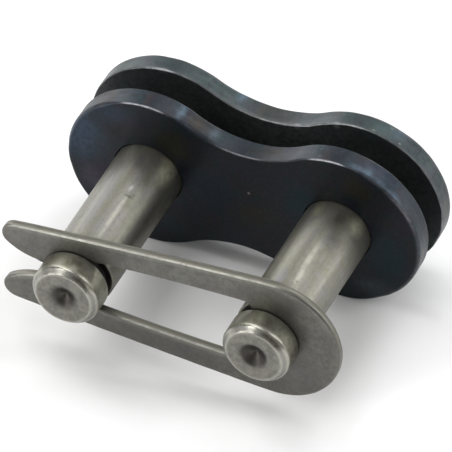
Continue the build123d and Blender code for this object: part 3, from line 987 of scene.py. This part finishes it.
holder.data.materials.append(
    plate_material(
        "pin_plate_blacked", (0.014, 0.018, 0.021), (0.016, 0.018, 0.020), (0.018, 0.018, 0.016),
        (0.036, 0.053, 0.053), (0.042, 0.050, 0.060), (0.050, 0.051, 0.047), (0.034, 0.064, 0.064), 7.7,
        [
            # painted light lifting the deep shade on the front face in the gap between the plates
            ((0.0, 5.75, 0.0), (18.0, 0.5, 9.0), (0.105, 0.117, 0.113), 0.9),
            ((7.6, 6.5, 5.4), (2.4, 1.2, 1.2), (0.034, 0.068, 0.073), 0.6),
            ((-6.6, 6.5, 5.5), (2.4, 1.2, 1.0), (0.042, 0.052, 0.060), 0.6),
            ((0.9, 6.5, 3.8), (3.2, 1.2, 0.8), (0.064, 0.058, 0.055), 0.6),
            ((7.2, 5.98, 5.43), (0.16, 0.10, 0.12), (0.26, 0.29, 0.27), 0.7),
            ((8.9, 6.05, 4.88), (0.12, 0.09, 0.12), (0.26, 0.29, 0.27), 0.8),
            ((8.1, 6.75, 5.20), (0.22, 0.16, 0.16), (0.14, 0.17, 0.16), 0.6),
            # painted highlights on the rim
            ((-2.0, 6.9, 4.2), (0.6, 0.8, 0.5), PAINTED_HIGHLIGHT_BLUE, 0.55),
            ((8.7, 6.7, 5.0), (0.7, 0.6, 0.6), PAINTED_HIGHLIGHT_BLUE, 0.25),
            # painted highlights on the front edge
            ((-6.8, 5.8, 5.5), (0.5, 0.25, 0.4), (0.20, 0.21, 0.22), 0.45),
            ((2.1, 5.8, 4.1), (0.45, 0.25, 0.4), (0.20, 0.21, 0.22), 0.7),
            ((4.8, 5.8, 5.1), (0.4, 0.25, 0.4), (0.20, 0.21, 0.22), 0.7),
        ],
    )
)
left.data.materials.append(
    pin_material(
        "pin_left_steel", 2.1,
        [
            # painted highlight streak along the lit side, then a painted highlight and painted shade on the nick and
            # the pit below it
            (on_pin(-1, 72, -4.0), (0.22, 3.4, 0.22), (0.33, 0.32, 0.275), 0.8),
            (on_pin(-1, 73, -1.45), (0.20, 0.42, 0.20), (0.42, 0.41, 0.38), 0.85),
            (on_pin(-1, 69, -2.12), (0.40, 0.20, 0.34), (0.070, 0.067, 0.054), 0.9),
            (on_pin(-1, 63, -1.85), (0.16, 0.24, 0.18), (0.10, 0.096, 0.080), 0.6),
            (on_pin(-1, 66, 1.5), (0.5, 0.9, 0.4), (0.17, 0.16, 0.14), 0.8),
            # painted light by the root
            (on_pin(-1, 38, 1.4), (0.8, 1.6, 1.0), (0.62, 0.62, 0.46), 0.95),
            # a painted dark reflection band, then a painted lighter band
            (on_pin(-1, 20, -2.5), (0.5, 5.0, 0.42), (0.115, 0.115, 0.093), 0.8),
            (on_pin(-1, 42, -3.3), (0.5, 4.0, 0.5), (0.31, 0.31, 0.255), 0.7),
            # painted light by the root
            (on_pin(-1, 112, 1.5), (0.7, 1.3, 0.6), (0.38, 0.375, 0.30), 0.8),
            (on_pin(-1, 46, 1.95), (0.75, 0.5, 0.8), (0.52, 0.52, 0.36), 0.9),
            (on_pin(-1, 88, 0.9), (0.5, 1.2, 0.4), (0.125, 0.115, 0.120), 0.75),
            # a painted violet-grey reflection band, then painted light on the left side
            (on_pin(-1, 106, -3.0), (0.65, 5.5, 0.5), (0.172, 0.168, 0.170), 0.8),
            (on_pin(-1, 130, 0.6), (0.6, 2.2, 0.6), (0.27, 0.265, 0.225), 0.8),
            # painted dark reflections on the chamfer's upper right, a painted highlight on its outer edge, painted
            # shade on its lower right and a painted highlight on its upper left
            ((-PX + 0.99, -9.8, 1.80), (0.62, 0.24, 0.55), (0.092, 0.070, 0.054), 0.95),
            ((-PX + 1.40, -9.84, 1.48), (0.50, 0.16, 0.50), (0.098, 0.076, 0.058), 0.9),
            ((-PX + 1.72, -9.70, 1.32), (0.50, 0.16, 0.75), (0.75, 0.72, 0.60), 0.9),
            ((-PX + 1.45, -9.8, -1.45), (0.8, 0.24, 0.8), (0.15, 0.147, 0.130), 0.6),
            ((-PX - 1.45, -9.8, 1.45), (0.8, 0.30, 0.8), (0.36, 0.35, 0.30), 0.6),
            (on_pin(-1, 86, -9.0), (1.0, 0.75, 0.8), (0.110, 0.102, 0.074), 0.85),
            (on_pin(-1, 120, -8.9), (0.7, 0.7, 0.6), (0.175, 0.165, 0.125), 0.5),
            # painted light on the head's side
            (on_pin(-1, 38, -9.0), (0.9, 0.8, 1.2), (0.46, 0.44, 0.36), 0.6),
        ],
    )
)
right_pin.data.materials.append(
    pin_material(
        "pin_right_steel", 5.4,
        [
            # painted highlight streak along the lit side
            (on_pin(1, 77, -3.0), (0.28, 2.4, 0.28), (0.35, 0.34, 0.29), 0.85),
            (on_pin(1, 74, -4.5), (0.26, 0.9, 0.26), (0.37, 0.36, 0.31), 0.8),
            (on_pin(1, 73, -4.95), (0.12, 0.12, 0.12), (0.06, 0.056, 0.048), 0.9),
            (on_pin(1, 71, 1.2), (0.6, 0.9, 0.45), (0.120, 0.112, 0.088), 0.85),
            # painted light by the root, then painted lighter bands on the left side
            (on_pin(1, 114, 1.5), (0.6, 1.1, 0.6), (0.36, 0.365, 0.24), 0.85),
            (on_pin(1, 131, -3.2), (0.5, 4.0, 0.5), (0.34, 0.33, 0.27), 0.85),
            (on_pin(1, 108, -2.6), (0.5, 3.5, 0.5), (0.255, 0.252, 0.215), 0.6),
            # painted light by the root, a painted lighter band and a painted violet-grey reflection band
            (on_pin(1, 40, 1.6), (0.8, 1.1, 0.9), (0.54, 0.52, 0.39), 0.95),
            (on_pin(1, 122, -1.6), (0.6, 4.0, 0.6), (0.25, 0.243, 0.20), 0.7),
            (on_pin(1, 100, -5.2), (0.5, 1.6, 0.5), (0.185, 0.182, 0.200), 0.7),
            # painted dark reflections on the chamfer's upper right
            ((PX + 1.42, -9.8, 1.48), (0.76, 0.32, 0.72), (0.086, 0.060, 0.044), 0.95),
            ((PX + 0.88, -9.8, 1.86), (0.58, 0.32, 0.46), (0.090, 0.064, 0.047), 0.95),
            (on_pin(1, 72, -8.9), (0.65, 0.7, 0.6), (0.150, 0.143, 0.106), 0.7),
            (on_pin(1, 92, -8.7), (0.50, 0.7, 0.35), (0.40, 0.41, 0.30), 0.6),
            # painted shade on the chamfer's lower right, a painted highlight on its upper left, and painted light on
            # the head's side
            ((PX + 1.45, -9.8, -1.45), (0.9, 0.26, 0.9), (0.110, 0.111, 0.100), 0.85),
            ((PX - 1.45, -9.8, 1.45), (0.8, 0.30, 0.8), (0.40, 0.385, 0.34), 0.85),
            (on_pin(1, 30, -9.0), (0.9, 0.8, 1.0), (0.58, 0.56, 0.45), 0.85),
            (on_pin(1, 132, -9.0), (0.8, 0.7, 0.8), (0.44, 0.42, 0.35), 0.6),
        ],
    )
)
clip.data.materials.append(clip_material(
        "clip_spring_steel", 3.2,
        [
            ((-10.4, -8.15, 2.3), (1.6, 0.4, 1.2), (0.185, 0.180, 0.165), 0.7),
            ((-10.6, -8.15, -2.3), (1.4, 0.4, 1.2), (0.170, 0.166, 0.150), 0.6),
            ((0.5, -8.15, -3.0), (6.0, 0.4, 1.3), (0.100, 0.097, 0.095), 0.7),
            ((9.0, -8.15, -2.2), (2.4, 0.4, 2.0), (0.124, 0.114, 0.116), 0.5),
            ((7.2, -8.15, 3.0), (1.8, 0.4, 1.2), (0.096, 0.101, 0.082), 0.5),
            ((-8.6, -8.15, 2.6), (1.6, 0.4, 0.9), (0.150, 0.138, 0.140), 0.5),
            ((9.4, -7.70, 2.4), (2.8, 0.30, 2.4), (0.075, 0.073, 0.061), 0.8),
            # painted contact shade around the pin heads
            ((-PX, -7.9, 0.0), (3.0, 1.6, 3.0), (0.058, 0.055, 0.046), 0.9),
            ((PX, -7.9, 0.0), (3.0, 1.6, 3.0), (0.058, 0.055, 0.046), 0.9),
        ],
    ))

# ------------------------------------------------------------------- stage
floor_mesh = bpy.data.meshes.new("floor")
h = 3.0
z = cad_box[0][2] - 0.00002
floor_mesh.from_pydata([(-h, -h, z), (h, -h, z), (h, h, z), (-h, h, z)], [], [(0, 1, 2, 3)])
floor = bpy.data.objects.new("floor", floor_mesh)
scene.collection.objects.link(floor)
paper = Nodes("floor_paper")
paper.shader(Base_Color=(0.90, 0.90, 0.90, 1), Roughness=0.9, Specular_IOR_Level=0.1)
floor_mesh.materials.append(paper.mat)


def softbox(name, azimuth, elevation, half_wide, half_high, radiance, color=(1, 1, 1), distance=0.6):
    """A flat soft light: azimuth from +X towards +Y, sizes in degrees."""
    a, e = math.radians(azimuth), math.radians(elevation)
    d = Vector((math.cos(a) * math.cos(e), math.sin(a) * math.cos(e), math.sin(e)))
    data = bpy.data.lights.new(name, "AREA")
    data.shape = "RECTANGLE"
    data.size = 2 * distance * math.tan(math.radians(half_wide))
    data.size_y = 2 * distance * math.tan(math.radians(half_high))
    data.energy = radiance * math.pi * data.size * data.size_y
    data.color = color
    ob = bpy.data.objects.new(name, data)
    ob.location = d * distance
    ob.rotation_mode = "QUATERNION"
    ob.rotation_quaternion = d.to_track_quat("Z", "Y")
    ob.visible_camera = False
    scene.collection.objects.link(ob)


for name, azimuth, elevation, radiance in (
    ("left_back_high", 150, 50, 4.9),
    ("right_back", 20, 30, 4.6),
    ("back", 70, 30, 3.85),
    ("left_front_low", 225, 8, 3.4),
    ("top_left", 180, 72, 3.3),
    ("right_back_low", 40, 8, 2.8),
    ("back_high", 90, 50, 2.55),
    ("right_high", 0, 50, 2.55),
    ("left_back", 145, 30, 2.4),
    ("left_back_low", 140, 8, 2.3),
    ("front_left", 235, 26, 1.4),
    ("top_front", 240, 72, 1.85),
):
    softbox(name, azimuth, elevation, 13, 11 if elevation > 10 else 12, radiance)
softbox("streak", 78, 42, 6, 4, 2.6, (0.92, 0.97, 1.0))
softbox("key", 237, 42, 8, 7, 5.5, (1.0, 0.99, 0.97))

world = bpy.data.worlds.new("studio")
scene.world = world
world.use_nodes = True
world.node_tree.nodes["Background"].inputs["Color"].default_value = (1, 1, 1, 1)
world.node_tree.nodes["Background"].inputs["Strength"].default_value = 0.27
